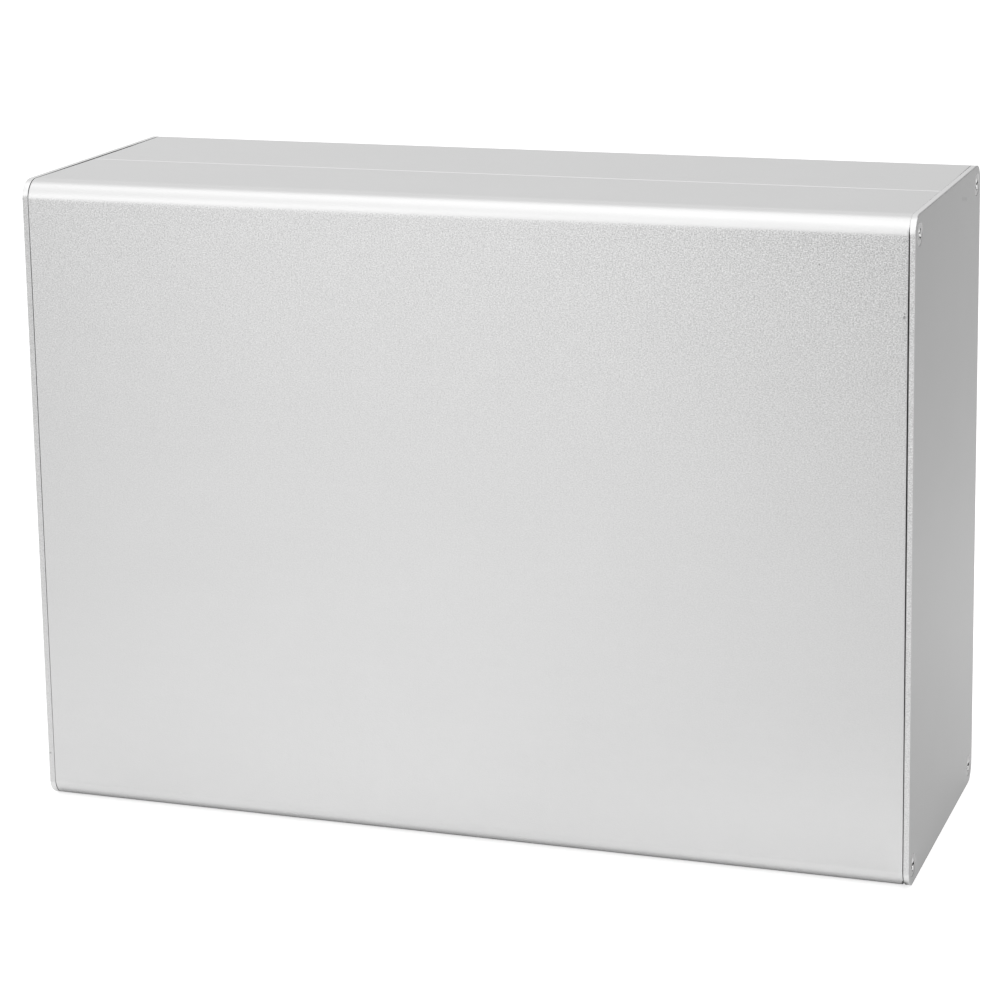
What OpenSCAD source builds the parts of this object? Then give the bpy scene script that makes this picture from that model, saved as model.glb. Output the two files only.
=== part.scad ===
// Aluminium enclosure made of two extruded shells and two screwed end plates, standing on a narrow side.
// X runs along the extrusion, Y from the front face to the back face, and Z up from the standing side.

/* [Box] */
// Length of both shells along the extrusion
shell_length = 220; // [120:5:320]
// Height of the box as it stands
box_height = 160; // [100:5:240]
// Depth from the front face to the back face
box_depth = 80; // [74:2:120]
// Depth of the front shell, from its face to the seam
front_depth = 36; // [30:1:42]
// Outside radius of the four long edges
edge_radius = 4.5; // [3:0.25:6]

/* [Walls] */
// Thickness of the two broad walls
broad_wall = 2; // [1.6:0.1:3]
// Thickness of the two narrow walls
narrow_wall = 2; // [1.6:0.1:3]
// Bevel round the sawn ends of the shells
end_bevel = 0.2; // [0.1:0.05:0.5]

/* [Seam] */
// How far the back shell's tongue reaches into the front shell's groove
tongue_reach = 4; // [3:0.25:6]
// Thickness of the tongue
tongue_thickness = 1.5; // [1.2:0.1:2.5]
// Length of the step that joins the tongue to its wall
tongue_root = 4; // [3:0.25:6]
// Bevel on the leading edge of the tongue
tongue_lead = 0.4; // [0.2:0.05:0.5]
// Thickness of the lip round the groove
lip_thickness = 1.2; // [1:0.1:2]
// Space round the tongue in its groove
seam_clearance = 0.15; // [0.1:0.05:0.3]
// Bevel along the outer edges of the seam
seam_bevel = 0.2; // [0.1:0.05:0.5]

/* [Board guides] */
// Width of the slot that takes the edge of a circuit board
slot_width = 2; // [1.8:0.1:2.6]
// Distance from one slot to the next
slot_pitch = 9; // [7:0.5:14]
// Thickness of the ribs beside each slot
rib_thickness = 1.2; // [1:0.1:1.8]
// Height of the ribs above the wall
rib_height = 2.5; // [2:0.25:4]
// Least space between a guide and the screw channel or the seam beside it
guide_space = 2; // [1:0.25:4]

/* [End plates] */
// Thickness of the end plates
plate_thickness = 1.5; // [1.5:0.1:3]
// Bevel round both faces of the end plates
plate_bevel = 0.25; // [0.1:0.05:0.5]
// Diameter of the plain holes in the end plates
hole_diameter = 3.2; // [3.1:0.05:3.6]

/* [Screws] */
// Distance of each screw's axis from the broad face and from the narrow side
screw_inset = 4.7; // [4.5:0.1:6]
// Length of the screws with their heads
screw_length = 8; // [6:1:16]
// Diameter of the shank, taken halfway up its thread
shank_diameter = 2.7; // [2.4:0.05:2.9]
// Diameter of the countersunk heads
head_diameter = 5.4; // [5:0.1:5.8]
// How far the heads lie below the face of the plate
head_sink = 0.05; // [0:0.05:0.15]
// Space between a head and its countersink
head_clearance = 0.05; // [0.02:0.01:0.1]
// Bevel at the tip of the shank
tip_bevel = 0.4; // [0.2:0.1:0.8]
// Span of the cross recess over two opposite wings
recess_span = 3.1; // [2.6:0.1:3.6]
// Width of each wing of the cross recess
recess_width = 0.9; // [0.7:0.05:1]
// Depth of the cross recess
recess_depth = 1.2; // [1:0.1:1.5]
// Radius of the cross recess at its bottom
recess_tip = 0.55; // [0.52:0.01:0.65]

/* [Screw channels] */
// Space round a shank in its channel
channel_clearance = 0.05; // [0.02:0.01:0.1]
// Wall round each channel
channel_wall = 1.6; // [1.2:0.1:2]
// Width of the gap that opens each channel to the inside
channel_gap = 1.4; // [1:0.1:2]

/* [Hidden] */
$fn = 64;

shell_color = [0.80, 0.80, 0.81];
plate_color = [0.74, 0.74, 0.75];
screw_color = [0.66, 0.66, 0.68];

// How far a cut or a trimmed bar runs past the surface that ends it
overshoot = 1;

back_depth = box_depth - front_depth;
straight_depth = box_depth - 2 * edge_radius;
straight_height = box_height - 2 * edge_radius;

groove_width = tongue_thickness + 2 * seam_clearance;
groove_depth = tongue_reach + seam_clearance;
tongue_level = narrow_wall + seam_clearance;

channel_radius = shank_diameter / 2 + channel_clearance;
boss_radius = channel_radius + channel_wall;

guide_half = slot_width / 2 + rib_thickness;
first_slot = screw_inset + boss_radius + guide_space + guide_half;
front_slots = slot_count(front_depth - groove_depth - lip_thickness);
back_slots = slot_count(back_depth - tongue_root);

head_radius = head_diameter / 2;
shank_radius = shank_diameter / 2;
head_top = plate_thickness - head_sink;
screw_tip = head_top - screw_length;
sink_diameter = head_diameter + 2 * (head_clearance + head_sink);
sink_depth = (sink_diameter - hole_diameter) / 2;
recess_slope = (recess_span / 2 - recess_tip) / recess_depth;

screw_spots = [
  for (side = [-1, 1], level = [screw_inset, box_height - screw_inset])
    [side * (box_depth / 2 - screw_inset), level]
];

// How many board guides fit between a broad face and the given depth
function slot_count(room) = 1 + floor((room - guide_space - guide_half - first_slot) / slot_pitch);

// Turns a section drawn in Y and Z, and what is built on it, along the box
module along_box() {
  rotate([90, 0, 90]) children();
}

// Places an end's pieces on the right end of the shells, facing outwards
module at_right_end() {
  translate([shell_length / 2, 0, 0]) along_box() children();
}

module at_left_end() {
  mirror([1, 0, 0]) at_right_end() children();
}

// Repeats what is drawn at the lower narrow side on the upper one
module on_both_sides() {
  children();
  translate([0, box_height]) mirror([0, 1]) children();
}

// Rectangle with its four corners bevelled
module bevelled_rectangle(width, thickness, bevel) {
  polygon([
    [bevel, 0],
    [width - bevel, 0],
    [width, bevel],
    [width, thickness - bevel],
    [width - bevel, thickness],
    [bevel, thickness],
    [0, thickness - bevel],
    [0, bevel]
  ]);
}

// Round post with both its ends bevelled
module bevelled_post(radius, thickness, bevel) {
  rotate_extrude() polygon([
    [0, 0],
    [radius - bevel, 0],
    [radius, bevel],
    [radius, thickness - bevel],
    [radius - bevel, thickness],
    [0, thickness]
  ]);
}

// Solid with the box's outline, rounded at the long edges and bevelled round both ends
module outline_block(thickness, bevel) {
  translate([-box_depth / 2, box_height - edge_radius, 0])
    rotate([90, 0, 0])
      linear_extrude(straight_height) bevelled_rectangle(box_depth, thickness, bevel);
  translate([-straight_depth / 2, 0, 0])
    rotate([90, 0, 90])
      linear_extrude(straight_depth) bevelled_rectangle(box_height, thickness, bevel);
  for (side = [-1, 1], level = [edge_radius, box_height - edge_radius])
    translate([side * straight_depth / 2, level, 0]) bevelled_post(edge_radius, thickness, bevel);
}

// Pair of ribs that hold the edge of a circuit board between them
module board_guide() {
  for (side = [-1, 1])
    translate([side * (slot_width + rib_thickness) / 2 - rib_thickness / 2, 0])
      square([rib_thickness, narrow_wall + rib_height]);
}

// Round channel that the screws cut their thread into, open towards the middle of the box
module screw_channel() {
  circle(channel_radius);
  rotate(45) translate([0, -channel_gap / 2]) square([boss_radius + overshoot, channel_gap]);
}

// Section that both shells share, from the broad face at x = 0 to the seam at the given depth
module u_section(depth, slots) {
  difference() {
    union() {
      translate([-overshoot, -overshoot]) square([broad_wall + overshoot, box_height + 2 * overshoot]);
      on_both_sides() {
        translate([-overshoot, -overshoot]) square([depth + overshoot, narrow_wall + overshoot]);
        square(screw_inset);
        translate([screw_inset, screw_inset]) circle(boss_radius);
        for (slot = [0 : 1 : slots - 1]) translate([first_slot + slot * slot_pitch, 0]) board_guide();
      }
    }
    on_both_sides() {
      translate([screw_inset, screw_inset]) screw_channel();
      translate([depth, 0]) rotate(45) square(sqrt(2) * seam_bevel, center = true);
    }
  }
}

// Lip inside the front shell's seam, with the groove between it and the wall
module groove_rail() {
  translate([front_depth - groove_depth - lip_thickness, narrow_wall / 2])
    difference() {
      square([groove_depth + lip_thickness, narrow_wall / 2 + groove_width + lip_thickness]);
      translate([lip_thickness, narrow_wall / 2]) square([groove_depth + overshoot, groove_width]);
    }
}

// Tongue of the back shell, with the step that joins it to the wall
module tongue_rail() {
  translate([back_depth - tongue_root, narrow_wall / 2])
    square([tongue_root, tongue_level + tongue_thickness - narrow_wall / 2]);
  translate([back_depth, tongue_level])
    polygon([
      [-tongue_root, 0],
      [tongue_reach - tongue_lead, 0],
      [tongue_reach, tongue_lead],
      [tongue_reach, tongue_thickness - tongue_lead],
      [tongue_reach - tongue_lead, tongue_thickness],
      [-tongue_root, tongue_thickness]
    ]);
}

// Length of extruded bar with the given section, sawn to the shell's length and trimmed to the outline
module shell_bar() {
  intersection() {
    translate([-shell_length / 2 - overshoot, 0, 0])
      along_box() linear_extrude(shell_length + 2 * overshoot) children();
    translate([-shell_length / 2, 0, 0]) along_box() outline_block(shell_length, end_bevel);
  }
}

// Countersunk hole through a plate whose inner face is at z = 0
module countersunk_hole() {
  translate([0, 0, -overshoot]) cylinder(d = hole_diameter, h = plate_thickness + 2 * overshoot);
  translate([0, 0, plate_thickness - sink_depth])
    cylinder(d1 = hole_diameter, d2 = sink_diameter + 2 * overshoot, h = sink_depth + overshoot);
}

// End plate with its inner face at z = 0
module end_plate() {
  difference() {
    outline_block(plate_thickness, plate_bevel);
    for (spot = screw_spots) translate([spot.x, spot.y, 0]) countersunk_hole();
  }
}

// Cross recess whose wings get shallower outwards, with its mouth at z = 0
module cross_recess() {
  translate([0, 0, -recess_depth])
    intersection() {
      linear_extrude(recess_depth + overshoot) {
        square([recess_span, recess_width], center = true);
        square([recess_width, recess_span], center = true);
      }
      cylinder(
        r1 = recess_tip,
        r2 = recess_span / 2 + recess_slope * overshoot,
        h = recess_depth + overshoot
      );
    }
}

// Countersunk screw, placed from the inner face of the plate at z = 0
module screw() {
  difference() {
    rotate_extrude() polygon([
      [0, head_top],
      [head_radius, head_top],
      [shank_radius, head_top - head_radius + shank_radius],
      [shank_radius, screw_tip + tip_bevel],
      [shank_radius - tip_bevel, screw_tip],
      [0, screw_tip]
    ]);
    translate([0, 0, head_top]) cross_recess();
  }
}

module plate_screws() {
  for (spot = screw_spots) translate([spot.x, spot.y, 0]) screw();
}

module front_shell() {
  color(shell_color)
    shell_bar()
      translate([-box_depth / 2, 0]) {
        u_section(front_depth, front_slots);
        on_both_sides() groove_rail();
      }
}

module back_shell() {
  color(shell_color)
    shell_bar()
      translate([box_depth / 2, 0]) mirror([1, 0]) {
        u_section(back_depth, back_slots);
        on_both_sides() tongue_rail();
      }
}

module left_end_plate() {
  color(plate_color) at_left_end() end_plate();
}

module right_end_plate() {
  color(plate_color) at_right_end() end_plate();
}

module left_plate_screws() {
  color(screw_color) at_left_end() plate_screws();
}

module right_plate_screws() {
  color(screw_color) at_right_end() plate_screws();
}

front_shell();
back_shell();
left_end_plate();
right_end_plate();
left_plate_screws();
right_plate_screws();
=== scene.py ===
import math

import bmesh
import bpy
from mathutils import Matrix, Vector


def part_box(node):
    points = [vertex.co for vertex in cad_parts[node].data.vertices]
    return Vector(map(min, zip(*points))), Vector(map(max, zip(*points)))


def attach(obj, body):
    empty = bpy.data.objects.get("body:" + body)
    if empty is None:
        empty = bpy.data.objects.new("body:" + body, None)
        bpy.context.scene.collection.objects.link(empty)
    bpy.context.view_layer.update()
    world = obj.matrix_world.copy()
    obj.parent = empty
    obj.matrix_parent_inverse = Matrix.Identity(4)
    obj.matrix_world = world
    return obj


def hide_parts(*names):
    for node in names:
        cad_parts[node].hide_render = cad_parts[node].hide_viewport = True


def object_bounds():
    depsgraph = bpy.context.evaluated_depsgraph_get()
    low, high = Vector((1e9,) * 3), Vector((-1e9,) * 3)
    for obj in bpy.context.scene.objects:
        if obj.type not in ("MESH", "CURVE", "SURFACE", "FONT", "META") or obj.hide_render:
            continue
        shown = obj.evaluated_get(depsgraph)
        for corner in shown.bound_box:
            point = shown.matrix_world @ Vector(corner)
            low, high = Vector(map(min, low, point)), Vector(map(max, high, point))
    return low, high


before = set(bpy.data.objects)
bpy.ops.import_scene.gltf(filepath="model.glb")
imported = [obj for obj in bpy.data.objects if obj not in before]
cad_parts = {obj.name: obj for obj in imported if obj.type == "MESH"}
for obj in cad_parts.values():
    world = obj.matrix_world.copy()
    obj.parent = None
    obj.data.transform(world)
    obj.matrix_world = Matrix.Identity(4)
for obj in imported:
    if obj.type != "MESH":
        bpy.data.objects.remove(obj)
cadLow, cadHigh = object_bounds()
mm = 0.001
creaseAngle = math.radians(32)  # an edge that turns by more stays sharp
floatSocket = "NodeSocketFloat"
print("frame loaded:", ", ".join(sorted(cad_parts)))

# sizes that the solids give
frontLow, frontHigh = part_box("front_shell")
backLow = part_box("back_shell")[0]
boxHeight = cadHigh.z - cadLow.z
boxDepth = cadHigh.y - cadLow.y
shellLength = frontHigh.x - frontLow.x
plateThickness = cadHigh.x - frontHigh.x
frontDepth = frontHigh.y - frontLow.y
backDepth = boxDepth - frontDepth
tongueReach = frontHigh.y - backLow.y


# node helpers

def addNode(tree, kind, **settings):
    made = tree.nodes.new(kind)
    for key, value in settings.items():
        setattr(made, key, value)
    return made


def feed(tree, value, target):
    if isinstance(value, bpy.types.NodeSocket):
        tree.links.new(value, target)
    else:
        target.default_value = value


def mathStep(tree, operation, *terms, clamp=False):
    step = addNode(tree, "ShaderNodeMath", operation=operation, use_clamp=clamp)
    for term, target in zip(terms, step.inputs):
        feed(tree, term, target)
    return step.outputs[0]


def vectorStep(tree, operation, *terms):
    step = addNode(tree, "ShaderNodeVectorMath", operation=operation)
    for term, target in zip(terms, step.inputs):
        feed(tree, term, target)
    return step.outputs["Value" if operation in ("LENGTH", "DISTANCE", "DOT_PRODUCT") else "Vector"]


def partsOf(tree, vector):
    split = addNode(tree, "ShaderNodeSeparateXYZ")
    feed(tree, vector, split.inputs[0])
    return split.outputs


def softTurn(tree, value, span, levels):
    turn = addNode(tree, "ShaderNodeMapRange", interpolation_type="SMOOTHSTEP")
    feed(tree, value, turn.inputs["Value"])
    turn.inputs["From Min"].default_value, turn.inputs["From Max"].default_value = span
    turn.inputs["To Min"].default_value, turn.inputs["To Max"].default_value = levels
    return turn.outputs["Result"]


def namedField(tree, name, kind):
    field = addNode(tree, "GeometryNodeInputNamedAttribute", data_type=kind)
    field.inputs["Name"].default_value = name
    return field.outputs["Attribute"]


def paintFaces(tree, geometry, material, selection=True):
    paint = addNode(tree, "GeometryNodeSetMaterial")
    feed(tree, geometry, paint.inputs["Geometry"])
    feed(tree, selection, paint.inputs["Selection"])
    feed(tree, material, paint.inputs["Material"])
    return paint.outputs["Geometry"]


def newTree(name, kind, inputs, outputs):
    tree = bpy.data.node_groups.new(name, kind)
    for label, socketType, value in inputs:
        made = tree.interface.new_socket(label, in_out="INPUT", socket_type=socketType)
        if value is not None:
            made.default_value = value
    for label, socketType in outputs:
        tree.interface.new_socket(label, in_out="OUTPUT", socket_type=socketType)
    return tree, addNode(tree, "NodeGroupInput"), addNode(tree, "NodeGroupOutput")


def runTree(piece, tree, values):
    modifier = piece.modifiers.new(tree.name, "NODES")
    modifier.node_group = tree
    for item in tree.interface.items_tree:
        if item.in_out == "INPUT" and item.name in values:
            modifier[item.identifier] = values[item.name]  # inputs go by identifier
    graph = bpy.context.evaluated_depsgraph_get()
    made = bpy.data.meshes.new_from_object(piece.evaluated_get(graph))
    piece.modifiers.clear()
    piece.data = made


def newPiece(name, mesh):
    piece = bpy.data.objects.new(name, mesh)
    bpy.context.scene.collection.objects.link(piece)
    return piece


def faceOutwards(piece):
    bm = bmesh.new()
    bm.from_mesh(piece.data)
    bmesh.ops.recalc_face_normals(bm, faces=bm.faces)
    bm.to_mesh(piece.data)
    bm.free()


def placePiece(piece, slot, *nodes):
    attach(piece, "root")
    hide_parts(*nodes)
    print("placed", piece.name, len(piece.data.polygons), "faces")


# finishes

shellFinish = {
    "tone": (0.68, 0.68, 0.68),
    "edgeTint": 1.0,
    "roughness": 0.32,
    "roughSpread": 0.03,
    "grainSize": 0.36 * mm,
    "grainDepth": 0.036 * mm,
    "mottle": 0.03,
    "streak": 0.012,
    # painted glint: the grain sparkles in the colour, more towards the top and the right end
    "sparkle": 1.2,
    "sparkleRise": 2.0,
    "footShadeDrift": (-0.045, -0.065),  # painted shade, at the foot here and at the head below: tone at the left and at the right end against the middle
    "headShadeDrift": (-0.12, -0.142),
    "specksAndShade": [  # place, radius and how much darker
        ((109.1 * mm, cadLow.y, 137.8 * mm), 0.36 * mm, 0.35),
        ((109.15 * mm, cadLow.y, 136.95 * mm), 0.46 * mm, 0.45),
        ((89.5 * mm, cadLow.y, 148.2 * mm), 0.32 * mm, 0.40),
    ],
}
# painted shade: a dark tone for the sawn ends and the plates' inner faces, so that the gaps between shells
# and plates look dark
gapShadeFinish = {
    "tone": (0.20, 0.20, 0.20),
    "edgeTint": 0.4,
    "roughness": 0.5,
    "roughSpread": 0.1,
    "grainSize": 0.40 * mm,
    "grainDepth": 0.020 * mm,
    "mottle": 0.1,
    "streak": 0.0,
    "footRise": 1.6,  # painted light: how much paler the gap shade is at the foot
    "footReach": 0.55,  # share of the height at which that ends
    "specksAndShade": [],
}
plateFinish = {
    "tone": (0.622, 0.622, 0.622),
    "rearShadeDrift": 0.045,  # painted light and shade: tone at the back against the middle
    "edgeTint": 0.55,
    "roughness": 0.42,
    "roughSpread": 0.05,
    "grainSize": 0.30 * mm,
    "grainDepth": 0.010 * mm,
    "mottle": 0.05,
    "streak": 0.0,
    "specksAndShade": [  # specks that run together into a faint scuff
        ((cadHigh.x, (16.0 + i) * mm, (154.9 - 0.16 * i) * mm), 0.75 * mm, 0.11) for i in range(7)
    ],
}
plateEdgeFinish = {
    "tone": (0.74, 0.74, 0.74),
    "edgeTint": 1.0,
    "roughness": 0.36,
    "roughSpread": 0.05,
    "grainSize": 0.30 * mm,
    "grainDepth": 0.010 * mm,
    "mottle": 0.08,
    "streak": 0.0,
    "sparkle": 0.7,
    "sparkleRise": 0.3,
    "footShadeDrift": (-0.135, -0.155),  # painted shade: the long edges are darker than the short ones
    "headShadeDrift": (-0.233, -0.16),
    "specksAndShade": [
        ((-111.0 * mm, cadLow.y, 11.7 * mm), 0.35 * mm, 0.3),
        # painted shade in the right plate's lower front corner
        ((109.7 * mm, -38.6 * mm, 0.7 * mm), 1.9 * mm, 0.95),
    ],
}
shadedEdgeFinish = dict(plateEdgeFinish, tone=(0.50, 0.50, 0.50))  # painted shade: a darker copy of the edge finish along the right plate's top outer edge
screwFinish = {
    "tone": (0.78, 0.78, 0.78),
    "edgeTint": 0.5,
    "roughness": 0.14,
    "roughSpread": 0.08,
    "grainSize": 0.25 * mm,
    "grainDepth": 0.004 * mm,
    "mottle": 0.08,
    "streak": 0.0,
    "specksAndShade": [],
}
recessShadeFinish = dict(screwFinish, tone=(0.03, 0.03, 0.03), edgeTint=0.1, roughness=0.3)  # painted shade in the screws' cross recesses
blastGrain = {
    "flatness": 1.3,  # the grains are a little wider than high
    "heightDetail": 2.0,
    "mottleScale": 60.0,
    "mottleDetail": 4.0,
    "streakScale": 420.0,
    "streakDetail": 3.0,
    "streakPull": 0.01,  # draws the streaks out along the box
}
broadLook = {
    "rightSparkle": 0.5,  # how much more the grain sparkles at the right end
    "edgeSpan": (0.9975, 0.9999),  # shares of the depth over which a face becomes a broad one
}
speckCore = 0.3  # share of a speck's radius that is fully dark


def noiseStep(tree, vector, scale, detail):
    noise = addNode(tree, "ShaderNodeTexNoise")
    noise.inputs["Detail"].default_value = detail
    feed(tree, vector, noise.inputs["Vector"])
    feed(tree, scale, noise.inputs["Scale"])
    return noise.outputs["Fac"]


def buildBlastGrain():
    tree, given, result = newTree(
        "blastGrain",
        "ShaderNodeTree",
        [("Vector", "NodeSocketVector", None), ("Grain Size", floatSocket, 0.3 * mm)],
        [("Height", floatSocket), ("Mottle", floatSocket), ("Streak", floatSocket)],
    )
    place = given.outputs["Vector"]
    scale = mathStep(tree, "DIVIDE", 1.0, given.outputs["Grain Size"])
    flat = vectorStep(tree, "MULTIPLY", place, (1.0, 1.0, blastGrain["flatness"]))
    feed(tree, noiseStep(tree, flat, scale, blastGrain["heightDetail"]), result.inputs["Height"])
    drawn = vectorStep(tree, "MULTIPLY", place, (blastGrain["streakPull"], 1.0, 1.0))
    for label, vector in (("mottle", place), ("streak", drawn)):
        noise = noiseStep(tree, vector, blastGrain[label + "Scale"], blastGrain[label + "Detail"])
        feed(tree, mathStep(tree, "SUBTRACT", noise, 0.5), result.inputs[label.capitalize()])
    return tree


def buildSpeck():
    tree, given, result = newTree(
        "speck",
        "ShaderNodeTree",
        [
            ("Vector", "NodeSocketVector", None),
            ("Centre", "NodeSocketVector", None),
            ("Radius", floatSocket, 0.4 * mm),
        ],
        [("Mask", floatSocket)],
    )
    away = vectorStep(tree, "DISTANCE", given.outputs["Vector"], given.outputs["Centre"])
    share = mathStep(tree, "DIVIDE", away, given.outputs["Radius"])
    feed(tree, softTurn(tree, share, (1.0, speckCore), (0.0, 1.0)), result.inputs["Mask"])
    return tree


def broadShade(tree, place, grainHeight, finish):
    # painted shade and a painted glint: on the broad faces the tone falls off towards the ends, and the
    # real grain is made to sparkle more, both most near the top
    where = partsOf(tree, place)
    level = mathStep(tree, "DIVIDE", where["Z"], boxHeight, clamp=True)
    share = mathStep(tree, "DIVIDE", where["X"], shellLength / 2)
    farLeft = mathStep(tree, "MULTIPLY", share, -1.0, clamp=True)
    farRight = mathStep(tree, "MULTIPLY", share, 1.0, clamp=True)
    total = 0.0
    for far, foot, head in zip((farLeft, farRight), finish["footShadeDrift"], finish["headShadeDrift"]):
        amount = mathStep(tree, "MULTIPLY_ADD", level, head - foot, foot)
        total = mathStep(tree, "MULTIPLY_ADD", mathStep(tree, "MULTIPLY", far, far), amount, total)
    more = mathStep(tree, "MULTIPLY_ADD", farRight, broadLook["rightSparkle"], 1.0)
    rise = mathStep(tree, "MULTIPLY", mathStep(tree, "POWER", level, finish["sparkleRise"]), more)
    spark = mathStep(tree, "MULTIPLY", mathStep(tree, "SUBTRACT", grainHeight, 0.5), finish["sparkle"])
    total = mathStep(tree, "MULTIPLY_ADD", spark, rise, total)
    outwards = mathStep(tree, "DIVIDE", mathStep(tree, "ABSOLUTE", where["Y"]), boxDepth / 2)
    return mathStep(tree, "MULTIPLY", total, softTurn(tree, outwards, broadLook["edgeSpan"], (0.0, 1.0)))


def metalShade(tree, place, grain, finish):
    # what the tone is multiplied by, from the grain, the drifts of painted light and shade, and the
    # specks, some of which are painted shade
    shade = mathStep(tree, "MULTIPLY_ADD", grain.outputs["Mottle"], finish["mottle"], 1.0)
    shade = mathStep(tree, "MULTIPLY_ADD", grain.outputs["Streak"], finish["streak"], shade)
    if "sparkle" in finish:
        shade = mathStep(tree, "ADD", shade, broadShade(tree, place, grain.outputs["Height"], finish))
    if "rearShadeDrift" in finish:
        # painted light and shade, lighter towards the back and darker in front
        slope = finish["rearShadeDrift"] / (boxDepth / 2)
        shade = mathStep(tree, "MULTIPLY_ADD", partsOf(tree, place)["Y"], slope, shade)
    # painted light, paler towards the foot
    if "footRise" in finish:
        span = (0.0, finish["footReach"] * boxHeight)
        rise = softTurn(tree, partsOf(tree, place)["Z"], span, (finish["footRise"], 0.0))
        shade = mathStep(tree, "ADD", shade, rise)
    # real specks and painted shade spots alike
    for centre, radius, depth in finish["specksAndShade"]:
        speck = addNode(tree, "ShaderNodeGroup", node_tree=speckTree)
        feed(tree, place, speck.inputs["Vector"])
        speck.inputs["Centre"].default_value = centre
        speck.inputs["Radius"].default_value = radius
        shade = mathStep(tree, "MULTIPLY_ADD", speck.outputs["Mask"], -depth, shade)
    return shade


def buildMetal(name, finish):
    material = bpy.data.materials.new(name)
    material.use_nodes = True
    tree = material.node_tree
    shader = tree.nodes["Principled BSDF"]
    shader.inputs["Metallic"].default_value = 1.0
    shader.inputs["Specular Tint"].default_value = (*[finish["edgeTint"]] * 3, 1.0)
    place = addNode(tree, "ShaderNodeTexCoord").outputs["Object"]
    grain = addNode(tree, "ShaderNodeGroup", node_tree=grainTree)
    feed(tree, place, grain.inputs["Vector"])
    grain.inputs["Grain Size"].default_value = finish["grainSize"]
    bump = addNode(tree, "ShaderNodeBump")
    bump.inputs["Distance"].default_value = finish["grainDepth"]
    feed(tree, grain.outputs["Height"], bump.inputs["Height"])
    feed(tree, bump.outputs["Normal"], shader.inputs["Normal"])
    shade = metalShade(tree, place, grain, finish)
    feed(tree, vectorStep(tree, "MULTIPLY", finish["tone"], shade), shader.inputs["Base Color"])
    spread = finish["roughSpread"]
    rough = mathStep(tree, "MULTIPLY_ADD", grain.outputs["Mottle"], spread, finish["roughness"])
    feed(tree, rough, shader.inputs["Roughness"])
    return material


grainTree = buildBlastGrain()
speckTree = buildSpeck()
blastedShell = buildMetal("blastedShell", shellFinish)
gapShade = buildMetal("gapShade", gapShadeFinish)
mattPlate = buildMetal("mattPlate", plateFinish)
plateEdge = buildMetal("plateEdge", plateEdgeFinish)
shadedEdge = buildMetal("shadedEdge", shadedEdgeFinish)
platedScrew = buildMetal("platedScrew", screwFinish)
recessShade = buildMetal("recessShade", recessShadeFinish)
print("finishes made")


# the two extruded shells

shellBar = {
    "edgeRadius": 4.5 * mm,
    "edgeLead": 5.0 * mm,  # the round runs out a little longer on the broad face
    "edgeSteps": 20,
    "broadWall": 2.0 * mm,
    "narrowWall": 2.0 * mm,
    "seamBevel": 0.2 * mm,
    "rimRound": 0.15 * mm,
    "rimSteps": 4,
    "supportInset": 0.4 * mm,
    "broadStops": (20 * mm, 40 * mm, 60 * mm),
    "narrowStops": (10 * mm, 16 * mm, 22 * mm, 28 * mm),
    "closedRim": 0.15,  # share of the rim's round that is left at the right end's top
    "closedSpan": (0.965, 0.99),  # shares of the height over which it closes
    "endFacing": 0.95,  # a face that looks along the box by more than this is a sawn end
}
endGap = {  # between a sawn end and its plate
    "least": 0.01 * mm,
    "sides": (0.05 * mm, 0.10 * mm),  # at the left and at the right end
    "tops": (0.5 * mm, 0.12 * mm),
    "foot": 0.5 * mm,  # in the right end's lower corners
    "footShare": 0.25,  # of a side's gap that is left at the foot
    "sideFoot": (0.0, 0.7),  # shares of the height over which each gap opens or closes
    "sideHead": (0.975, 0.95),
    "topSpan": (0.9, 1.0),
    "footSpan": (0.005, 0.014),
    "rearSpan": (0.2, 0.85),  # share of the half depth
}
seamRail = {
    "tongueThickness": 1.5 * mm,
    "tongueRoot": 4.0 * mm,
    "tongueLead": 0.4 * mm,
    "lip": 1.2 * mm,
    "clearance": 0.15 * mm,
}
boardGuide = {
    "slot": 2.0 * mm,
    "rib": 1.2 * mm,
    "ribHeight": 2.5 * mm,
    "pitch": 9.0 * mm,
    "space": 2.0 * mm,
}
screwChannel = {
    "inset": 4.7 * mm,
    "radius": 1.4 * mm,
    "wall": 1.6 * mm,
    "gap": 1.4 * mm,
    "bossSteps": 8,
    "boreSteps": 24,
}


def arcPoints(centre, radius, start, end, steps):
    turn = [math.radians(start + (end - start) * i / steps) for i in range(steps + 1)]
    return [(centre[0] + radius * math.cos(a), centre[1] + radius * math.sin(a)) for a in turn]


def outerRun(depth):
    # from the seam along the lower side and round to the broad face, each point with its outward direction
    r, lead = shellBar["edgeRadius"], shellBar["edgeLead"]
    inset, bevel = shellBar["supportInset"], shellBar["seamBevel"]
    down, out = (0.0, -1.0), (-1.0, 0.0)
    run = [((depth, bevel), (0.0, 0.0))]
    run += [((depth - bevel, 0.0), down), ((depth - bevel - inset, 0.0), down)]
    run += [((u, 0.0), down) for u in reversed(shellBar["narrowStops"])]
    run.append(((r + inset, 0.0), down))
    for u, v in arcPoints((r, r), r, 270, 180, shellBar["edgeSteps"]):
        run.append(((u, v * lead / r), ((u - r) / r, (v - r) / r)))
    run.append(((0.0, lead + inset), out))
    run += [((0.0, v), out) for v in shellBar["broadStops"]]
    return run


def channelRun():
    # down the broad wall, round the boss, in and out of the open channel, and on to the narrow wall
    c, bore, gap = screwChannel["inset"], screwChannel["radius"], screwChannel["gap"] / 2
    boss = bore + screwChannel["wall"]
    steps = screwChannel["bossSteps"]
    atBroad = math.degrees(math.acos((c - shellBar["broadWall"]) / boss))
    atNarrow = math.degrees(math.acos((c - shellBar["narrowWall"]) / boss))
    atBoss = math.degrees(math.asin(gap / boss))
    atBore = math.degrees(math.asin(gap / bore))
    run = arcPoints((c, c), boss, 180 - atBroad, 45 + atBoss, steps)
    run += arcPoints((c, c), bore, 45 + atBore, 405 - atBore, screwChannel["boreSteps"])
    run += arcPoints((c, c), boss, 45 - atBoss, atNarrow - 90, steps)
    return run


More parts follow.
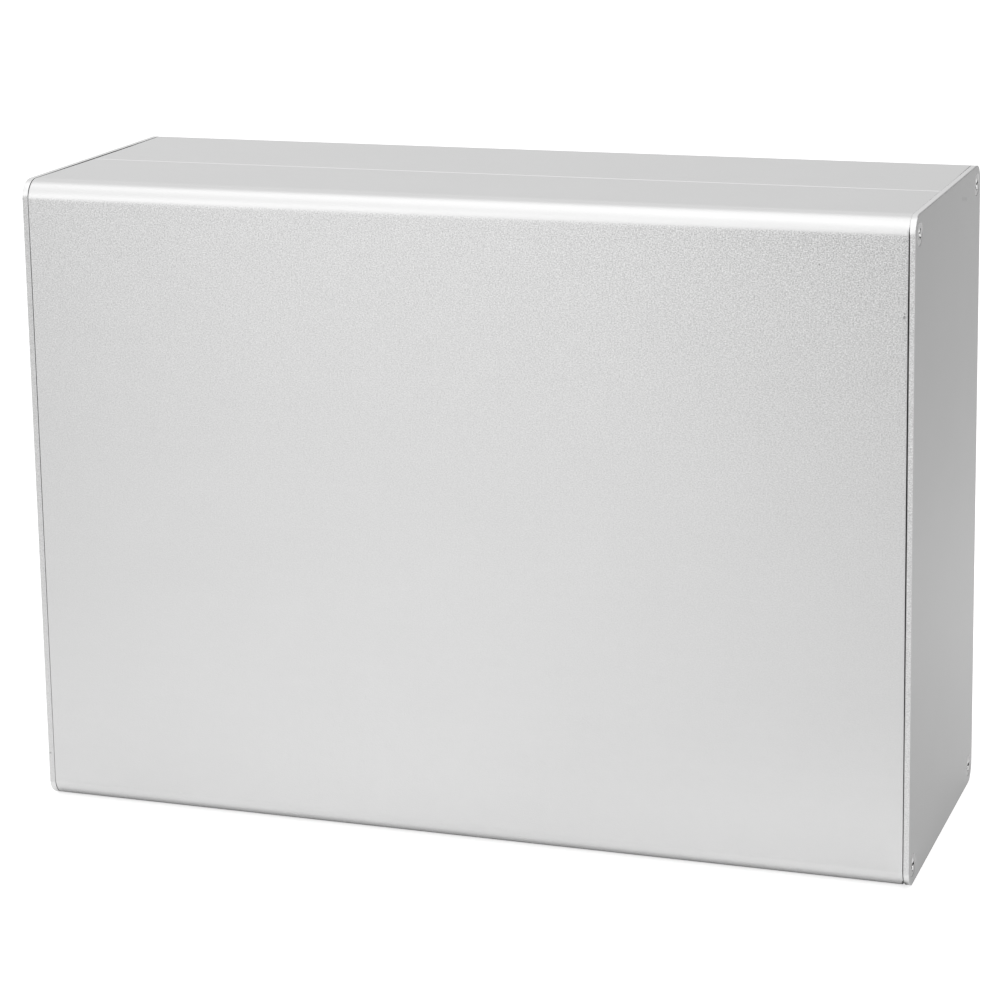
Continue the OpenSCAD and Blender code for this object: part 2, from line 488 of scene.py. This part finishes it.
def guideRun(room):
    half = boardGuide["slot"] / 2 + boardGuide["rib"]
    wall, tip = shellBar["narrowWall"], shellBar["narrowWall"] + boardGuide["ribHeight"]
    boss = screwChannel["radius"] + screwChannel["wall"]
    first = screwChannel["inset"] + boss + boardGuide["space"] + half
    count = 1 + math.floor((room - boardGuide["space"] - half - first) / boardGuide["pitch"])
    run = []
    for slot in range(count):
        middle = first + slot * boardGuide["pitch"]
        for start, end in ((-half, -boardGuide["slot"] / 2), (boardGuide["slot"] / 2, half)):
            near, far = middle + start, middle + end
            run += [(near, wall), (near, tip), (far, tip), (far, wall)]
    return run


def grooveRun():
    wall, lip = shellBar["narrowWall"], seamRail["lip"]
    width = seamRail["tongueThickness"] + 2 * seamRail["clearance"]
    deep = frontDepth - tongueReach - seamRail["clearance"]
    return [
        (deep - lip, wall),
        (deep - lip, wall + width + lip),
        (frontDepth, wall + width + lip),
        (frontDepth, wall + width),
        (deep, wall + width),
        (deep, wall),
        (frontDepth, wall),
    ]


def tongueRun():
    wall, lead = shellBar["narrowWall"], seamRail["tongueLead"]
    low = wall + seamRail["clearance"]
    high = low + seamRail["tongueThickness"]
    root, tip = backDepth - seamRail["tongueRoot"], backDepth + tongueReach
    return [
        (root, wall),
        (root, high),
        (tip - lead, high),
        (tip, high - lead),
        (tip, low + lead),
        (tip - lead, low),
        (backDepth, low),
    ]


def mirrorRun(run):
    return [((u, boxHeight - v), (a, -b)) for (u, v), (a, b) in reversed(run)]


def shellLoop(depth, room, seamRun):
    lowerOuter = outerRun(depth)
    lowerInner = [(point, (0.0, 0.0)) for point in channelRun() + guideRun(room) + seamRun]
    return lowerOuter + mirrorRun(lowerOuter) + mirrorRun(lowerInner) + lowerInner


def stationCurve(tree, value, half):
    # stations along the bar: close together round each rim, then one long stretch
    count = mathStep(tree, "MULTIPLY", mathStep(tree, "ADD", value["Rim Steps"], 2.0), 2.0)
    line = addNode(tree, "GeometryNodeMeshLine")
    feed(tree, count, line.inputs["Count"])
    index = addNode(tree, "GeometryNodeInputIndex").outputs[0]
    fromEnd = mathStep(tree, "SUBTRACT", mathStep(tree, "SUBTRACT", count, 1.0), index)
    near = mathStep(tree, "MINIMUM", index, fromEnd)
    side = mathStep(tree, "SIGN", mathStep(tree, "SUBTRACT", index, fromEnd))
    turn = mathStep(tree, "MINIMUM", mathStep(tree, "DIVIDE", near, value["Rim Steps"]), 1.0)
    angle = mathStep(tree, "MULTIPLY", turn, math.pi / 2)
    lift = mathStep(tree, "SUBTRACT", 1.0, mathStep(tree, "COSINE", angle))
    inside = mathStep(tree, "GREATER_THAN", near, value["Rim Steps"])
    curved = mathStep(tree, "MULTIPLY", lift, value["Rim Round"])
    away = mathStep(tree, "MULTIPLY_ADD", inside, value["Support Inset"], curved)
    station = addNode(tree, "ShaderNodeCombineXYZ")
    along = mathStep(tree, "MULTIPLY", side, mathStep(tree, "SUBTRACT", half, away))
    feed(tree, along, station.inputs["X"])
    path = addNode(tree, "GeometryNodeSetPosition")
    feed(tree, line.outputs["Mesh"], path.inputs["Geometry"])
    feed(tree, station.outputs["Vector"], path.inputs["Position"])
    curve = addNode(tree, "GeometryNodeMeshToCurve")
    feed(tree, path.outputs["Geometry"], curve.inputs["Mesh"])
    return curve.outputs["Curve"]


def rimMove(tree, value, endDistance, level, atRight):
    # the rim's round draws the outer face in, least along the right end's top
    share = mathStep(tree, "DIVIDE", endDistance, value["Rim Round"], clamp=True)
    drop = mathStep(tree, "SUBTRACT", 1.0, share)
    chord = mathStep(tree, "SQRT", mathStep(tree, "SUBTRACT", 1.0, mathStep(tree, "MULTIPLY", drop, drop)))
    drawIn = mathStep(tree, "MULTIPLY", mathStep(tree, "SUBTRACT", chord, 1.0), value["Rim Round"])
    closed = mathStep(tree, "MULTIPLY", atRight, softTurn(tree, level, shellBar["closedSpan"], (0.0, 1.0)))
    change = mathStep(tree, "SUBTRACT", value["Closed Rim"], 1.0)
    rimShare = mathStep(tree, "MULTIPLY_ADD", closed, change, 1.0)
    drawIn = mathStep(tree, "MULTIPLY", drawIn, rimShare)
    return vectorStep(tree, "MULTIPLY", namedField(tree, "outward", "FLOAT_VECTOR"), drawIn)


def gapMove(tree, value, where, endDistance, level, atRight):
    # the sawn end stands back by a gap, widest in its middle at the left end and behind at the right one
    atFoot = softTurn(tree, level, endGap["sideFoot"], (endGap["footShare"], 1.0))
    atHead = softTurn(tree, level, endGap["sideHead"], (0.0, 1.0))
    alongSide = mathStep(tree, "MULTIPLY", atFoot, atHead)
    across = mathStep(tree, "DIVIDE", where["Y"], mathStep(tree, "MULTIPLY", value["Depth"], 0.5))
    bow = mathStep(tree, "SUBTRACT", 1.0, mathStep(tree, "MULTIPLY", across, across), clamp=True)
    rear = softTurn(tree, across, endGap["rearSpan"], (0.0, 1.0))
    along = mathStep(tree, "MULTIPLY_ADD", atRight, mathStep(tree, "SUBTRACT", rear, bow), bow)
    alongTop = mathStep(tree, "MULTIPLY", along, softTurn(tree, level, endGap["topSpan"], (0.0, 1.0)))
    inCorner = mathStep(tree, "MULTIPLY", atRight, softTurn(tree, level, endGap["footSpan"], (1.0, 0.0)))
    gap = mathStep(tree, "MULTIPLY_ADD", inCorner, value["Right Foot Gap"], value["Least Gap"])
    for opening, name in ((alongSide, "Side Gap"), (alongTop, "Top Gap")):
        left, right = value["Left " + name], value["Right " + name]
        wide = mathStep(tree, "MULTIPLY_ADD", atRight, mathStep(tree, "SUBTRACT", right, left), left)
        gap = mathStep(tree, "MULTIPLY_ADD", opening, wide, gap)
    endStretch = mathStep(tree, "ADD", value["Rim Round"], value["Support Inset"])
    nearEnd = mathStep(tree, "LESS_THAN", endDistance, endStretch)
    gap = mathStep(tree, "MULTIPLY", gap, nearEnd)
    pull = mathStep(tree, "MULTIPLY", mathStep(tree, "SIGN", where["X"]), gap)
    back = addNode(tree, "ShaderNodeCombineXYZ")
    feed(tree, mathStep(tree, "MULTIPLY", pull, -1.0), back.inputs["X"])
    return back.outputs["Vector"]


def finishSurface(tree, geometry, value):
    smooth = addNode(tree, "GeometryNodeSetShadeSmooth", domain="FACE")
    feed(tree, geometry, smooth.inputs["Geometry"])
    crease = addNode(tree, "GeometryNodeSetShadeSmooth", domain="EDGE")
    crease.inputs["Shade Smooth"].default_value = False
    angle = addNode(tree, "GeometryNodeInputMeshEdgeAngle").outputs["Unsigned Angle"]
    feed(tree, smooth.outputs["Geometry"], crease.inputs["Geometry"])
    feed(tree, mathStep(tree, "GREATER_THAN", angle, creaseAngle), crease.inputs["Selection"])
    realize = addNode(tree, "GeometryNodeRealizeInstances")
    feed(tree, crease.outputs["Geometry"], realize.inputs["Geometry"])
    normal = addNode(tree, "GeometryNodeInputNormal").outputs["Normal"]
    facing = mathStep(tree, "ABSOLUTE", vectorStep(tree, "DOT_PRODUCT", normal, (1.0, 0.0, 0.0)))
    painted = paintFaces(tree, realize.outputs["Geometry"], value["Finish"])
    # the sawn ends take the painted gap shade
    atEnd = mathStep(tree, "GREATER_THAN", facing, shellBar["endFacing"])
    return paintFaces(tree, painted, value["End Gap Shade"], atEnd)


def buildBarTree():
    tree, given, result = newTree(
        "extrudedBar",
        "GeometryNodeTree",
        [
            ("Loop", "NodeSocketGeometry", None),
            ("Length", floatSocket, 0.2),
            ("Height", floatSocket, 0.1),
            ("Depth", floatSocket, 0.1),
            ("Rim Round", floatSocket, 0.0002),
            ("Rim Steps", "NodeSocketInt", 4),
            ("Support Inset", floatSocket, 0.0004),
            ("Least Gap", floatSocket, 0.0),
            ("Left Side Gap", floatSocket, 0.0),
            ("Right Side Gap", floatSocket, 0.0),
            ("Left Top Gap", floatSocket, 0.0),
            ("Right Top Gap", floatSocket, 0.0),
            ("Right Foot Gap", floatSocket, 0.0),
            ("Closed Rim", floatSocket, 1.0),
            ("Finish", "NodeSocketMaterial", None),
            ("End Gap Shade", "NodeSocketMaterial", None),
        ],
        [("Bar", "NodeSocketGeometry")],
    )
    value = given.outputs
    half = mathStep(tree, "MULTIPLY", value["Length"], 0.5)
    loopCurve = addNode(tree, "GeometryNodeMeshToCurve")
    feed(tree, value["Loop"], loopCurve.inputs["Mesh"])
    sweep = addNode(tree, "GeometryNodeCurveToMesh")
    sweep.inputs["Fill Caps"].default_value = True
    feed(tree, stationCurve(tree, value, half), sweep.inputs["Curve"])
    feed(tree, loopCurve.outputs["Curve"], sweep.inputs["Profile Curve"])

    where = partsOf(tree, addNode(tree, "GeometryNodeInputPosition").outputs[0])
    endDistance = mathStep(tree, "SUBTRACT", half, mathStep(tree, "ABSOLUTE", where["X"]))
    level = mathStep(tree, "DIVIDE", where["Z"], value["Height"])
    atRight = mathStep(tree, "GREATER_THAN", where["X"], 0.0)
    rim = rimMove(tree, value, endDistance, level, atRight)
    back = gapMove(tree, value, where, endDistance, level, atRight)
    shape = addNode(tree, "GeometryNodeSetPosition")
    feed(tree, sweep.outputs["Mesh"], shape.inputs["Geometry"])
    feed(tree, vectorStep(tree, "ADD", rim, back), shape.inputs["Offset"])
    feed(tree, finishSurface(tree, shape.outputs["Geometry"], value), result.inputs[0])
    return tree


def makeShell(name, barTree, loop, broadFace, inwards):
    # points count from the broad face, and the sweep turns the loop half round, so it is laid out turned
    mesh = bpy.data.meshes.new(name)
    points = [(-(broadFace + inwards * u), -v, 0.0) for (u, v), _ in loop]
    edges = [(i, (i + 1) % len(points)) for i in range(len(points))]
    mesh.from_pydata(points, edges, [])
    outward = mesh.attributes.new("outward", "FLOAT_VECTOR", "POINT")
    for item, (_, (a, b)) in zip(outward.data, loop):
        item.vector = (0.0, inwards * a, b)
    shell = newPiece(name, mesh)
    runTree(shell, barTree, {
        "Length": shellLength,
        "Height": boxHeight,
        "Depth": boxDepth,
        "Rim Round": shellBar["rimRound"],
        "Rim Steps": shellBar["rimSteps"],
        "Support Inset": shellBar["supportInset"],
        "Least Gap": endGap["least"],
        "Left Side Gap": endGap["sides"][0],
        "Right Side Gap": endGap["sides"][1],
        "Left Top Gap": endGap["tops"][0],
        "Right Top Gap": endGap["tops"][1],
        "Right Foot Gap": endGap["foot"],
        "Closed Rim": shellBar["closedRim"],
        "Finish": blastedShell,
        "End Gap Shade": gapShade,
    })
    faceOutwards(shell)
    return shell


barTree = buildBarTree()
grooveRoom = frontDepth - tongueReach - seamRail["clearance"] - seamRail["lip"]
frontShell = makeShell("frontShell", barTree, shellLoop(frontDepth, grooveRoom, grooveRun()), cadLow.y, 1)
tongueRoom = backDepth - seamRail["tongueRoot"]
backShell = makeShell("backShell", barTree, shellLoop(backDepth, tongueRoom, tongueRun()), cadHigh.y, -1)
placePiece(frontShell, "anodised_shell", "front_shell")
placePiece(backShell, "anodised_shell", "back_shell")


# the end plates

endPlate = {
    "innerRounds": (0.04 * mm, 0.42 * mm),  # of the left and of the right plate
    "outerRound": 0.09 * mm,
    "footShare": 0.9,  # of the rounds that is left at the foot
    "footSpan": (0.03, 0.45),  # shares of the height over which they grow
    "topShare": 0.12,  # of the right plate's inner round that is left at its top
    "topSpan": (0.965, 0.99),
    "shadedBand": 0.3 * mm,  # the painted shade band along the right plate's top
    "bandSpan": (0.99, 0.9995),
    "bandLeast": 1.1,  # elsewhere, as a share of the outer round
    "bandSlack": 0.01 * mm,
    "sideStops": (0.1, 0.2, 0.3, 0.4, 0.5, 0.7, 0.9),  # shares of the height
    "outerFacing": 0.2,  # limits that part the outer face, the inner face and the top from the edge
    "innerFacing": -0.3,
    "topFacing": 0.9,
    "edgeSteps": 5,
    "cornerSteps": 16,
    "supportInset": 0.4 * mm,
    "holeRadius": 1.6 * mm,
    "sinkRadius": 2.8 * mm,
    "holeSteps": 40,
}


def plateOutline():
    # rounded rectangle in depth and height, each point with its outward direction
    r, n = shellBar["edgeRadius"], endPlate["cornerSteps"]
    y, low, high = boxDepth / 2 - r, r, boxHeight - r
    turn = [math.pi / 2 * i / n for i in range(n + 1)]
    outline = []
    stops = [boxHeight * share for share in endPlate["sideStops"]]
    for quarter, (cy, cz) in enumerate(((y, high), (-y, high), (-y, low), (y, low))):
        for angle in turn:
            a, b = math.cos(angle + quarter * math.pi / 2), math.sin(angle + quarter * math.pi / 2)
            outline.append(((cy + r * a, cz + r * b), (a, b)))
        if quarter == 1:
            outline += [((-boxDepth / 2, z), (-1.0, 0.0)) for z in reversed(stops)]
        if quarter == 3:
            outline += [((boxDepth / 2, z), (1.0, 0.0)) for z in stops]
    return outline


def smoothShare(value, span):
    low, high = span
    t = min(1.0, max(0.0, (value - low) / (high - low)))
    return t * t * (3.0 - 2.0 * t)


def edgeSizes(z, facing):
    # inner and outer round, least at the foot, and how far the painted shade band reaches in from the
    # outer face
    level = z / boxHeight
    least = endPlate["footShare"]
    share = least + (1.0 - least) * smoothShare(level, endPlate["footSpan"])
    inner, outer = endPlate["innerRounds"][facing > 0] * share, endPlate["outerRound"] * share
    band = endPlate["bandLeast"] * outer
    if facing > 0:
        inner *= 1.0 - (1.0 - endPlate["topShare"]) * smoothShare(level, endPlate["topSpan"])
        band += (endPlate["shadedBand"] - band) * smoothShare(level, endPlate["bandSpan"])
    return inner, outer, band


def addRing(bm, points, x):
    return [bm.verts.new((x, y, z)) for y, z in points]


def bridgeRings(bm, rings):
    faces = []
    for near, far in zip(rings, rings[1:]):
        for i in range(len(near)):
            j = (i + 1) % len(near)
            faces.append(bm.faces.new((near[i], near[j], far[j], far[i])))
    return faces


def ringEdges(bm, ring):
    return [bm.edges.get((ring[i], ring[(i + 1) % len(ring)])) for i in range(len(ring))]


def screwSpots():
    y = boxDepth / 2 - screwChannel["inset"]
    low, high = screwChannel["inset"], boxHeight - screwChannel["inset"]
    return [(side * y, level) for side in (-1, 1) for level in (low, high)]


def edgeFinish(face, facing):
    # index into the plate's materials: outer face, edge, inner face in the painted gap shade, and the
    # painted shade band
    outerFace, edge, innerFace, shadedTop = range(4)
    bandStart = shellLength / 2 + plateThickness - endPlate["shadedBand"] - endPlate["bandSlack"]
    out = facing * face.normal.x
    if out < endPlate["innerFacing"]:
        return innerFace
    if out > endPlate["outerFacing"]:
        return outerFace
    onTop = face.normal.z > endPlate["topFacing"]
    return shadedTop if onTop and face.calc_center_median().x > bandStart else edge


def makePlate(name, facing):
    # facing is +1 at the right end and -1 at the left
    bm = bmesh.new()
    start, n, support = shellLength / 2, endPlate["edgeSteps"], endPlate["supportInset"]
    turns = [math.pi / 2 * i / n for i in range(n + 1)]
    near, far, shadedRing = 0, 1, 2
    stations = [(near, 0.0, 1.0, support)]  # along and in by shares of the size, and further in
    stations += [(near, 1 - math.cos(t), 1 - math.sin(t), 0.0) for t in turns]
    stations += [(shadedRing, -1.0, 0.0, 0.0)]
    stations += [(far, math.cos(t) - 1, 1 - math.sin(t), 0.0) for t in reversed(turns)]
    stations += [(far, 0.0, 1.0, support)]
    rings = []  # from the inner face round the edge to the outer face
    for part, along, inShare, further in stations:
        ring = []
        for (y, z), (a, b) in plateOutline():
            size = edgeSizes(z, facing)[part]
            x = start + (0.0 if part == near else plateThickness) + along * size
            inset = size * inShare + further
            ring.append(bm.verts.new((facing * x, y - a * inset, z - b * inset)))
        rings.append(ring)
    bridgeRings(bm, rings)
    bmesh.ops.recalc_face_normals(bm, faces=bm.faces)
    for face in bm.faces:
        face.material_index = edgeFinish(face, facing)
    innerEdges, outerEdges = ringEdges(bm, rings[0]), ringEdges(bm, rings[-1])
    hole, sink, end = endPlate["holeRadius"], endPlate["sinkRadius"], start + plateThickness
    for y, z in screwSpots():
        bores = []
        for radius, x in ((hole, start), (hole, end - (sink - hole)), (sink, end)):
            circle = arcPoints((y, z), radius, 0, 360, endPlate["holeSteps"])[:-1]
            bores.append(addRing(bm, circle, facing * x))
        bridgeRings(bm, bores)
        innerEdges += ringEdges(bm, bores[0])
        outerEdges += ringEdges(bm, bores[-1])
    for edges in (innerEdges, outerEdges):
        bmesh.ops.triangle_fill(bm, edges=edges, use_beauty=True)
    bmesh.ops.recalc_face_normals(bm, faces=bm.faces)
    return finishMesh(bm, name, mattPlate, plateEdge, gapShade, shadedEdge)


def finishMesh(bm, name, *materials):
    for face in bm.faces:
        face.smooth = True
    for edge in bm.edges:
        edge.smooth = edge.calc_face_angle(0.0) < creaseAngle
    mesh = bpy.data.meshes.new(name)
    bm.to_mesh(mesh)
    bm.free()
    for material in materials:
        mesh.materials.append(material)
    return newPiece(name, mesh)


rightPlate = makePlate("rightEndPlate", 1)
leftPlate = makePlate("leftEndPlate", -1)
placePiece(rightPlate, "anodised_plate", "right_end_plate")
placePiece(leftPlate, "anodised_plate", "left_end_plate")


# the countersunk screws

plateScrew = {
    "headRadius": 2.7 * mm,
    "headEdge": 0.08 * mm,
    "headSink": 0.05 * mm,
    "shankRadius": 1.35 * mm,
    "length": 8.0 * mm,
    "tipBevel": 0.4 * mm,
    "roundSteps": 40,
    "recessSpan": 3.1 * mm,
    "recessWidth": 0.9 * mm,
    "recessDepth": 1.2 * mm,
    "recessTip": 0.55 * mm,
    "recessBevel": 0.24 * mm,
    "spinSeed": 5,
    "spinReach": 45.0,
}


def crossLoop(reach, halfWidth):
    corners = [(reach, -halfWidth), (reach, halfWidth), (halfWidth, halfWidth)]
    loop = []
    for quarter in range(4):
        c, s = round(math.cos(quarter * math.pi / 2)), round(math.sin(quarter * math.pi / 2))
        loop += [(c * a - s * b, s * a + c * b) for a, b in corners]
    return loop


def makeScrewMesh(name):
    # one screw with its head's top at z = 0 and its shank downwards
    bm = bmesh.new()
    depth = bm.faces.layers.float.new("inRecess")
    head, shank, edge = plateScrew["headRadius"], plateScrew["shankRadius"], plateScrew["headEdge"]
    tip = -plateScrew["length"]
    profile = [
        (head - edge, 0.0),
        (head, -edge),
        (shank, -edge - head + shank),
        (shank, tip + plateScrew["tipBevel"]),
        (shank - plateScrew["tipBevel"], tip),
    ]
    rings = []
    for radius, z in profile:
        circle = arcPoints((0.0, 0.0), radius, 0, 360, plateScrew["roundSteps"])[:-1]
        rings.append([bm.verts.new((x, y, z)) for x, y in circle])
    bridgeRings(bm, rings)
    bm.faces.new(rings[-1])
    reach, half = plateScrew["recessSpan"] / 2, plateScrew["recessWidth"] / 2
    bevel = plateScrew["recessBevel"]
    steps = [(reach, half, 0.0), (reach - bevel, half - bevel, -bevel)]
    steps.append((plateScrew["recessTip"], half - bevel, -plateScrew["recessDepth"]))
    recess = [[bm.verts.new((x, y, z)) for x, y in crossLoop(a, b)] for a, b, z in steps]
    rim = bridgeRings(bm, recess[:2])
    # the recess and the ends of its arms take the painted shade
    armEnds = rim[::3]
    for face in armEnds + bridgeRings(bm, recess[1:]) + [bm.faces.new(recess[-1])]:
        face[depth] = 1.0
    bmesh.ops.triangle_fill(bm, edges=ringEdges(bm, rings[0]) + ringEdges(bm, recess[0]), use_beauty=True)
    bmesh.ops.recalc_face_normals(bm, faces=bm.faces)
    return finishMesh(bm, name, platedScrew)


def buildScrewTree():
    tree, given, result = newTree(
        "screwsInPlate",
        "GeometryNodeTree",
        [
            ("Screw", "NodeSocketGeometry", None),
            ("Depth Spacing", floatSocket, 0.07),
            ("Height Spacing", floatSocket, 0.15),
            ("Middle", "NodeSocketVector", None),
            ("Facing", floatSocket, 1.0),
            ("Spin Seed", "NodeSocketInt", 0),
            ("Spin Reach", floatSocket, 0.0),
            ("Finish", "NodeSocketMaterial", None),
            ("Recess Finish", "NodeSocketMaterial", None),
        ],
        [("Screws", "NodeSocketGeometry")],
    )
    value = given.outputs
    grid = addNode(tree, "GeometryNodeMeshGrid")
    grid.inputs["Vertices X"].default_value = 2
    grid.inputs["Vertices Y"].default_value = 2
    feed(tree, value["Depth Spacing"], grid.inputs["Size X"])
    feed(tree, value["Height Spacing"], grid.inputs["Size Y"])
    stand = addNode(tree, "GeometryNodeTransform")
    stand.inputs["Rotation"].default_value = (math.pi / 2, 0.0, math.pi / 2)  # grid X to Y, grid Y to Z
    feed(tree, grid.outputs["Mesh"], stand.inputs["Geometry"])
    feed(tree, value["Middle"], stand.inputs["Translation"])
    tilt = addNode(tree, "ShaderNodeCombineXYZ")
    feed(tree, mathStep(tree, "MULTIPLY", value["Facing"], math.pi / 2), tilt.inputs["Y"])
    place = addNode(tree, "GeometryNodeInstanceOnPoints")
    feed(tree, stand.outputs["Geometry"], place.inputs["Points"])
    feed(tree, value["Screw"], place.inputs["Instance"])
    feed(tree, tilt.outputs["Vector"], place.inputs["Rotation"])
    chance = addNode(tree, "FunctionNodeRandomValue", data_type="FLOAT")
    feed(tree, mathStep(tree, "MULTIPLY", value["Spin Reach"], -1.0), chance.inputs[2])
    feed(tree, value["Spin Reach"], chance.inputs[3])
    feed(tree, value["Spin Seed"], chance.inputs["Seed"])
    spin = addNode(tree, "ShaderNodeCombineXYZ")
    feed(tree, chance.outputs[1], spin.inputs["Z"])
    turned = addNode(tree, "GeometryNodeRotateInstances")
    feed(tree, place.outputs["Instances"], turned.inputs["Instances"])
    feed(tree, spin.outputs["Vector"], turned.inputs["Rotation"])
    realize = addNode(tree, "GeometryNodeRealizeInstances")
    feed(tree, turned.outputs["Instances"], realize.inputs["Geometry"])
    painted = paintFaces(tree, realize.outputs["Geometry"], value["Finish"])
    dark = mathStep(tree, "GREATER_THAN", namedField(tree, "inRecess", "FLOAT"), 0.5)
    feed(tree, paintFaces(tree, painted, value["Recess Finish"], dark), result.inputs[0])
    return tree


def makeScrews(name, screwTree, facing, seed):
    screws = makeScrewMesh(name)
    headFace = shellLength / 2 + plateThickness - plateScrew["headSink"]
    runTree(screws, screwTree, {
        "Depth Spacing": boxDepth - 2 * screwChannel["inset"],
        "Height Spacing": boxHeight - 2 * screwChannel["inset"],
        "Middle": (facing * headFace, 0.0, boxHeight / 2),
        "Facing": float(facing),
        "Spin Seed": seed,
        "Spin Reach": math.radians(plateScrew["spinReach"]),
        "Finish": platedScrew,
        "Recess Finish": recessShade,
    })
    return screws


screwTree = buildScrewTree()
rightScrews = makeScrews("rightPlateScrews", screwTree, 1, plateScrew["spinSeed"])
leftScrews = makeScrews("leftPlateScrews", screwTree, -1, plateScrew["spinSeed"] + 1)
placePiece(rightScrews, "screw_steel", "right_plate_screws")
placePiece(leftScrews, "screw_steel", "left_plate_screws")


# floor, light and camera

studio = {
    "floorReach": 3.5,
    "floorTone": 0.6,
    "floorShow": 0.68,
    "floorGlow": 0.497,
    "footShade": {"from": 0.75 * mm, "to": -3.6 * mm, "least": 0.06},  # distances out from the box
    "glows": {  # azimuth from the front towards the right, elevation, reach, tone
        "frontWide": (-45, 28, 60, 1.22),
        "frontCore": (-20, 12, 24, 0.63),
        "frontHigh": (0, 45, 24, 0.66),
        "overhead": (0, 80, 38, 1.02),
        "backHigh": (-150, 45, 60, 0.98),
        "backLow": (-160, 8, 24, 0.14),
        "backRight": (140, 15, 60, 0.19),
        "sideRight": (75, 28, 55, 0.32),
    },
    "pools": {  # lamps above the floor that light nothing but the floor
        "rightPool": {"at": (0.20, 0.14, 1.2), "spread": 0.34, "power": 16.0},
        "backPool": {"at": (0.18, 0.21, 1.2), "spread": 0.13, "power": 8.5},
        "leftPool": {"at": (-0.12, -0.12, 1.2), "spread": 0.15, "power": 7.2},
        "frontPool": {"at": (0.0, -0.20, 1.2), "spread": 0.15, "power": 3.4},
        "footPoolLeft": {"at": (-0.03, -0.055, 1.2), "spread": 0.075, "power": 6.5},
        "footPoolRight": {"at": (0.09, -0.055, 1.2), "spread": 0.085, "power": 9.7},
    },
    "poolSoftSize": 0.03,
}
photoCamera = {
    "place": (246.91 * mm, -716.59 * mm, 280.81 * mm),
    "right": (0.9465, 0.3224, -0.0159),
    "forward": (-0.3188, 0.9261, -0.2017),
    "focalPixels": 3104.9,
    "centrePixel": (504.6, 311.1),
    "imagePixels": 1001,
    "sensor": 36.0,
}


def makeFloor():
    mesh = bpy.data.meshes.new("studioFloor")
    far = studio["floorReach"]
    mesh.from_pydata([(-far, -far, 0), (far, -far, 0), (far, far, 0), (-far, far, 0)], [], [(0, 1, 2, 3)])
    floor = newPiece("studioFloor", mesh)
    material = bpy.data.materials.new("paleFloor")
    material.use_nodes = True
    tree = material.node_tree
    shader = tree.nodes["Principled BSDF"]
    shader.inputs["Base Color"].default_value = (*[studio["floorTone"]] * 3, 1.0)
    shader.inputs["Roughness"].default_value = 1.0
    shader.inputs["Specular IOR Level"].default_value = 0.0
    shader.inputs["Emission Color"].default_value = (1.0, 1.0, 1.0, 1.0)
    path = addNode(tree, "ShaderNodeLightPath")
    seen = mathStep(tree, "MAXIMUM", path.outputs["Is Glossy Ray"], path.outputs["Is Transmission Ray"])
    where = partsOf(tree, addNode(tree, "ShaderNodeTexCoord").outputs["Object"])
    sides = []
    for axis, half in (("X", shellLength / 2 + plateThickness), ("Y", boxDepth / 2)):
        sides.append(mathStep(tree, "SUBTRACT", mathStep(tree, "ABSOLUTE", where[axis]), half))
    foot = studio["footShade"]
    outside = mathStep(tree, "MAXIMUM", *sides)
    shade = softTurn(tree, outside, (foot["to"], foot["from"]), (foot["least"], 1.0))
    seen = mathStep(tree, "MULTIPLY", seen, shade)
    seen = mathStep(tree, "MULTIPLY", seen, studio["floorGlow"])
    seen = mathStep(tree, "MULTIPLY_ADD", path.outputs["Is Camera Ray"], studio["floorShow"], seen)
    feed(tree, seen, shader.inputs["Emission Strength"])
    mesh.materials.append(material)


def makePool(name, pool):
    data = bpy.data.lights.new(name, "SPOT")
    data.energy = pool["power"]
    data.spot_size = 2 * math.atan2(pool["spread"], pool["at"][2])
    data.spot_blend = 1.0
    data.shadow_soft_size = studio["poolSoftSize"]
    lamp = newPiece(name, data)
    lamp.location = pool["at"]
    lamp.visible_glossy = False  # no spark on the metal


def makeWorld():
    # soft glows all round, each brightest in its middle and fading to nothing at its reach
    world = bpy.data.worlds.new("studioWorld")
    world.use_nodes = True
    tree = world.node_tree
    way = addNode(tree, "ShaderNodeTexCoord").outputs["Generated"]
    total = 0.0
    for azimuth, elevation, reach, tone in studio["glows"].values():
        a, e = math.radians(azimuth), math.radians(elevation)
        middle = (math.sin(a) * math.cos(e), -math.cos(a) * math.cos(e), math.sin(e))
        near = vectorStep(tree, "DOT_PRODUCT", way, middle)
        glow = softTurn(tree, near, (math.cos(math.radians(reach)), 1.0), (0.0, tone))
        total = mathStep(tree, "ADD", glow, total)
    feed(tree, total, tree.nodes["Background"].inputs["Strength"])
    tree.nodes["Background"].inputs["Color"].default_value = (1.0, 1.0, 1.0, 1.0)
    bpy.context.scene.world = world


def makeCamera():
    data = bpy.data.cameras.new("photoCamera")
    pixels = photoCamera["imagePixels"]
    data.sensor_width = photoCamera["sensor"]
    data.lens = photoCamera["focalPixels"] * photoCamera["sensor"] / pixels
    middle = (pixels - 1) / 2
    data.shift_x = (middle - photoCamera["centrePixel"][0]) / pixels
    data.shift_y = (photoCamera["centrePixel"][1] - middle) / pixels
    camera = newPiece("photoCamera", data)
    back = -Vector(photoCamera["forward"]).normalized()
    right = Vector(photoCamera["right"]).normalized()
    up = back.cross(right).normalized()
    right = up.cross(back)
    turn = Matrix((right, up, back)).transposed()
    camera.matrix_world = Matrix.Translation(photoCamera["place"]) @ turn.to_4x4()
    bpy.context.scene.camera = camera


makeFloor()
for poolName, pool in studio["pools"].items():
    makePool(poolName, pool)
makeWorld()
makeCamera()
bpy.context.scene.view_settings.view_transform = "Standard"
print("studio ready")
